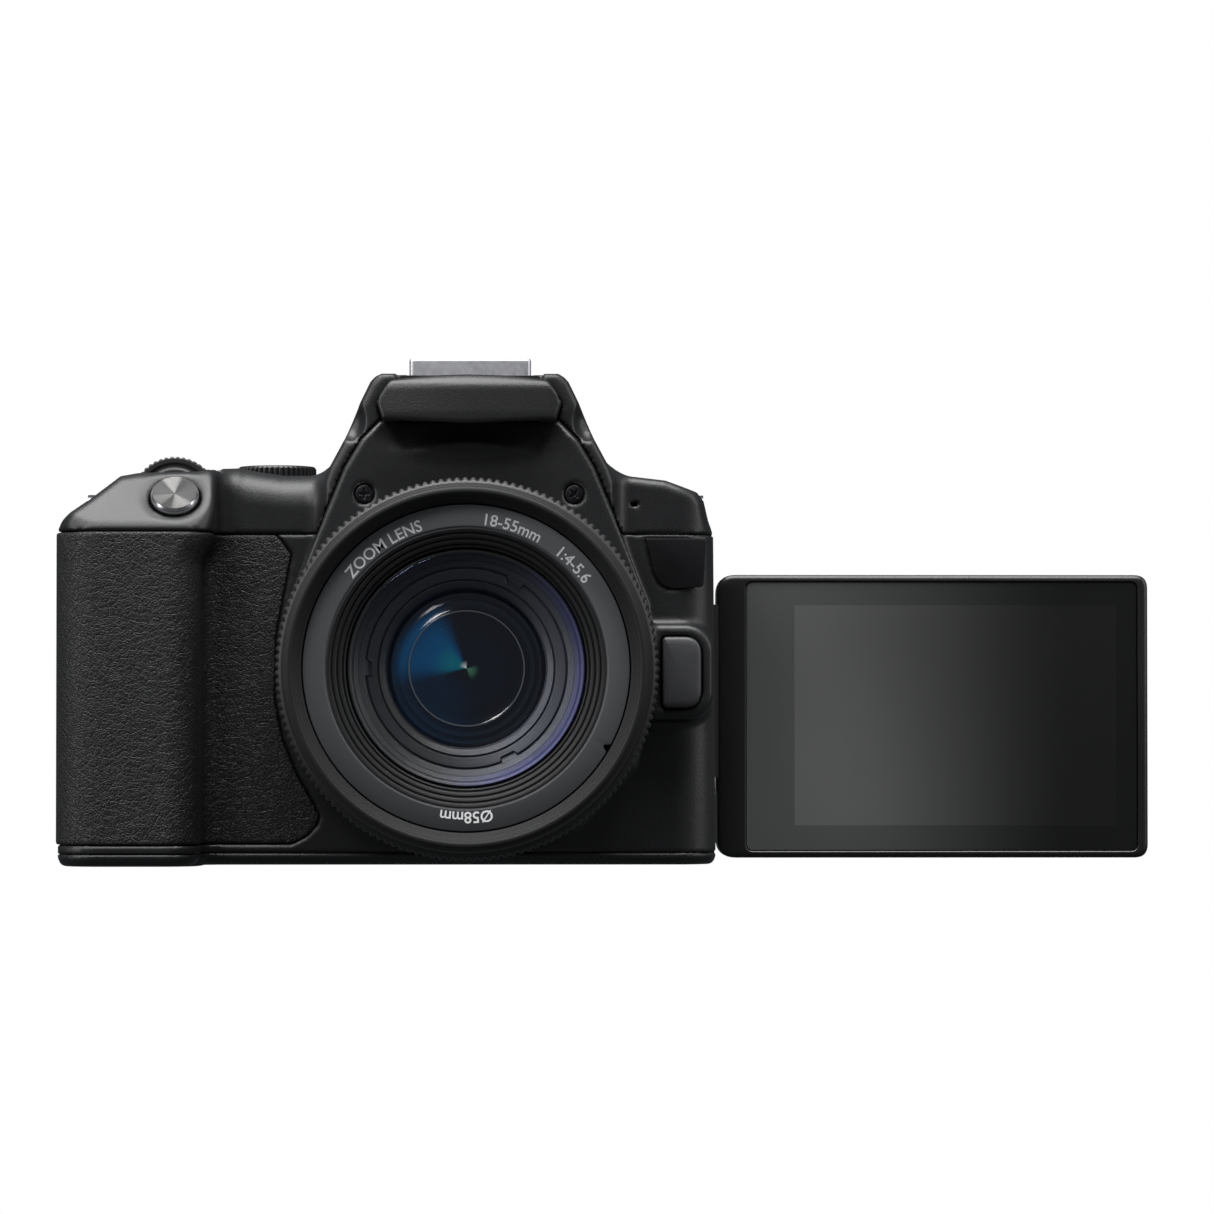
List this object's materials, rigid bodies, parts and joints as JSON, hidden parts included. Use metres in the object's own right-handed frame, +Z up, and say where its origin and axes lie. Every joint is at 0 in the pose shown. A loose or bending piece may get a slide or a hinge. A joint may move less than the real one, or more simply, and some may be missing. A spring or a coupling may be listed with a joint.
{
  "type": "digital single-lens reflex camera",
  "caption": "Compact digital single-lens reflex camera body with a zoom lens, pop-up flash, hot shoe, hand grip and a side-hinged screen that swings out and turns.",
  "frame": {"origin": "centre of the tripod socket's mouth in the plane of the base", "axes": "+Z up, the lens looks along -Y, +X towards the side the screen hinges on; the screen is stored swung out with its glass facing the way the lens looks"},
  "size_m": [0.2043, 0.1283, 0.0937],
  "materials": {
    "cover_plastic": "fine satin grain",
    "rubber": "leather grain",
    "badge_plastic": "satin",
    "screw_steel": "blackened",
    "bright_metal": "satin plated",
    "shoe_metal": "satin grey",
    "inner_plastic": "matt black",
    "mirror": "front silvered",
    "optics": "coated",
    "sensor": "filter glass over silicon",
    "circuit": "solder mask",
    "battery_case": "moulded case",
    "button_plastic": "satin black",
    "shutter_metal": "turned and plated",
    "hinge_metal": "satin black",
    "panel_plastic": "satin",
    "screen_glass": "black coated glass",
    "lens_plastic": "satin black"
  },
  "bodies": {
    "camera_body": {"front_cover": "cover_plastic", "top_cover": "cover_plastic", "rear_cover": "cover_plastic", "base_cover": "cover_plastic", "grip_rubber": "rubber", "thumb_rubber": "rubber", "badge_plate": "badge_plastic", "front_screws": "screw_steel", "base_screws": "screw_steel", "tripod_socket": "bright_metal", "strap_lugs": "bright_metal", "mirror_box": "inner_plastic", "body_mount_ring": "bright_metal", "focusing_screen": "optics", "pentamirror": "mirror", "eyepiece_lens": "optics", "eyecup": "rubber", "shutter_unit": "inner_plastic", "image_sensor": "sensor", "main_board": "circuit", "battery": "battery_case", "memory_card": "battery_case", "hot_shoe": "shoe_metal", "shoe_springs": "bright_metal", "hinge_bracket": "hinge_metal", "lens_barrel": "lens_plastic"},
    "main_mirror": {"main_mirror": "mirror"},
    "sub_mirror": {"sub_mirror": "mirror"},
    "diopter_dial": {"diopter_dial": "button_plastic"},
    "battery_door": {"battery_door": "cover_plastic"},
    "door_latch": {"door_latch": "cover_plastic"},
    "flash": {"flash_head": "cover_plastic", "flash_window": "optics"},
    "shutter_button": {"shutter_button": "shutter_metal"},
    "main_dial": {"main_dial": "button_plastic"},
    "mode_dial": {"mode_dial": "button_plastic"},
    "power_lever": {"power_lever": "button_plastic"},
    "iso_button": {"iso_button": "button_plastic"},
    "display_button": {"display_button": "button_plastic"},
    "release_button": {"release_button": "button_plastic"},
    "live_button": {"live_button": "button_plastic"},
    "lock_button": {"lock_button": "button_plastic"},
    "point_button": {"point_button": "button_plastic"},
    "exposure_button": {"exposure_button": "button_plastic"},
    "info_button": {"info_button": "button_plastic"},
    "play_button": {"play_button": "button_plastic"},
    "erase_button": {"erase_button": "button_plastic"},
    "set_button": {"set_button": "button_plastic"},
    "cross_keys": {"cross_keys": "button_plastic"},
    "jack_cover": {"jack_cover": "rubber"},
    "hinge_knuckle": {"hinge_knuckle": "hinge_metal"},
    "screen": {"screen_bezel": "panel_plastic", "screen_back": "panel_plastic", "screen_glass": "screen_glass"},
    "zoom_ring": {"zoom_ring": "lens_plastic"},
    "inner_barrel": {"inner_barrel": "lens_plastic", "nameplate_ring": "lens_plastic", "front_glass": "optics"},
    "focus_ring": {"focus_ring": "lens_plastic"},
    "focus_switch": {"focus_switch": "button_plastic"}
  },
  "joints": [
    {"name": "screen_swing", "type": "hinge", "parent": "camera_body", "child": "hinge_knuckle", "pos_m": [0.0434, 0.032, 0.0274], "axis": [0, 0, 1], "range_deg": [0, 180]},
    {"name": "screen_tilt", "type": "hinge", "parent": "hinge_knuckle", "child": "screen", "pos_m": [0.0434, 0.032, 0.0274], "axis": [1, 0, 0], "range_deg": [-270, 0]},
    {"name": "shutter_press", "type": "slide", "parent": "camera_body", "child": "shutter_button", "axis": [0, 0.7431, -0.6691], "range_m": [0, 0.0012], "stiffness_N_per_m": 400},
    {"name": "main_dial_turn", "type": "hinge", "parent": "camera_body", "child": "main_dial", "pos_m": [-0.0541, -0.0085, 0.0669], "axis": [0, 1, 0], "continuous": true},
    {"name": "mode_dial_turn", "type": "hinge", "parent": "camera_body", "child": "mode_dial", "pos_m": [-0.0365, 0.016, 0.0716], "axis": [0, 0, 1], "continuous": true},
    {"name": "power_turn", "type": "hinge", "parent": "camera_body", "child": "power_lever", "pos_m": [-0.0365, 0.016, 0.0716], "axis": [0, 0, 1], "range_deg": [0, 50]},
    {"name": "iso_press", "type": "slide", "parent": "camera_body", "child": "iso_button", "axis": [0, 0, -1], "range_m": [0, 0.0006], "stiffness_N_per_m": 300},
    {"name": "display_press", "type": "slide", "parent": "camera_body", "child": "display_button", "axis": [0, 0, -1], "range_m": [0, 0.0006], "stiffness_N_per_m": 300},
    {"name": "release_press", "type": "slide", "parent": "camera_body", "child": "release_button", "axis": [0, 1, 0], "range_m": [0, 0.002], "stiffness_N_per_m": 400},
    {"name": "flash_lift", "type": "hinge", "parent": "camera_body", "child": "flash", "pos_m": [0, -0.006, 0.0856], "axis": [-1, 0, 0], "range_deg": [0, 75]},
    {"name": "mirror_flip", "type": "hinge", "parent": "camera_body", "child": "main_mirror", "pos_m": [0, 0.0066, 0.0468], "axis": [-1, 0, 0], "range_deg": [0, 45], "stiffness_Nm_per_rad": 0.0008},
    {"name": "sub_mirror_fold", "type": "hinge", "parent": "main_mirror", "child": "sub_mirror", "pos_m": [0, 0.00016, 0.03754], "axis": [-1, 0, 0], "range_deg": [0, 90]},
    {"name": "diopter_turn", "type": "hinge", "parent": "camera_body", "child": "diopter_dial", "pos_m": [0.0194, 0.0364, 0.0762], "axis": [0, 1, 0], "range_deg": [-120, 120]},
    {"name": "battery_door_swing", "type": "hinge", "parent": "camera_body", "child": "battery_door", "pos_m": [-0.046, 0.005, 0], "axis": [0, -1, 0], "range_deg": [0, 100]},
    {"name": "latch_slide", "type": "slide", "parent": "battery_door", "child": "door_latch", "axis": [1, 0, 0], "range_m": [0, 0.002]},
    {"name": "jack_cover_swing", "type": "hinge", "parent": "camera_body", "child": "jack_cover", "pos_m": [0.046, -0.0019, 0.032], "axis": [0, 0, -1], "range_deg": [0, 100], "stiffness_Nm_per_rad": 0.0004},
    {"name": "zoom_turn", "type": "hinge", "parent": "camera_body", "child": "zoom_ring", "pos_m": [0, -0.05, 0.0352], "axis": [0, -1, 0], "range_deg": [0, 60]},
    {"name": "zoom_slide", "type": "slide", "parent": "camera_body", "child": "inner_barrel", "axis": [0, -1, 0], "range_m": [0, 0.009]},
    {"name": "focus_turn", "type": "hinge", "parent": "inner_barrel", "child": "focus_ring", "pos_m": [0, -0.073, 0.0352], "axis": [0, -1, 0], "continuous": true},
    {"name": "focus_switch_slide", "type": "slide", "parent": "camera_body", "child": "focus_switch", "axis": [0, 0, 1], "range_m": [0, 0.0016]},
    {"name": "cross_keys_rock", "type": "hinge", "parent": "camera_body", "child": "cross_keys", "pos_m": [-0.0594, 0.0354, 0.026], "axis": [1, 0, 0], "range_deg": [-2, 2], "stiffness_Nm_per_rad": 0.05},
    {"name": "set_press", "type": "slide", "parent": "camera_body", "child": "set_button", "axis": [0, -1, 0], "range_m": [0, 0.0006], "stiffness_N_per_m": 300},
    {"name": "live_press", "type": "slide", "parent": "camera_body", "child": "live_button", "axis": [0, -1, 0], "range_m": [0, 0.0006], "stiffness_N_per_m": 300},
    {"name": "lock_press", "type": "slide", "parent": "camera_body", "child": "lock_button", "axis": [0, -1, 0], "range_m": [0, 0.0006], "stiffness_N_per_m": 300},
    {"name": "point_press", "type": "slide", "parent": "camera_body", "child": "point_button", "axis": [0, -1, 0], "range_m": [0, 0.0006], "stiffness_N_per_m": 300},
    {"name": "exposure_press", "type": "slide", "parent": "camera_body", "child": "exposure_button", "axis": [0, -1, 0], "range_m": [0, 0.0006], "stiffness_N_per_m": 300},
    {"name": "info_press", "type": "slide", "parent": "camera_body", "child": "info_button", "axis": [0, -1, 0], "range_m": [0, 0.0006], "stiffness_N_per_m": 300},
    {"name": "play_press", "type": "slide", "parent": "camera_body", "child": "play_button", "axis": [0, -1, 0], "range_m": [0, 0.0006], "stiffness_N_per_m": 300},
    {"name": "erase_press", "type": "slide", "parent": "camera_body", "child": "erase_button", "axis": [0, -1, 0], "range_m": [0, 0.0006], "stiffness_N_per_m": 300}
  ],
  "couplings": [
    {"joint": "sub_mirror_fold", "follows": "mirror_flip", "ratio": 2},
    {"joint": "zoom_slide", "follows": "zoom_turn", "m_per_rad": 0.008586}
  ]
}
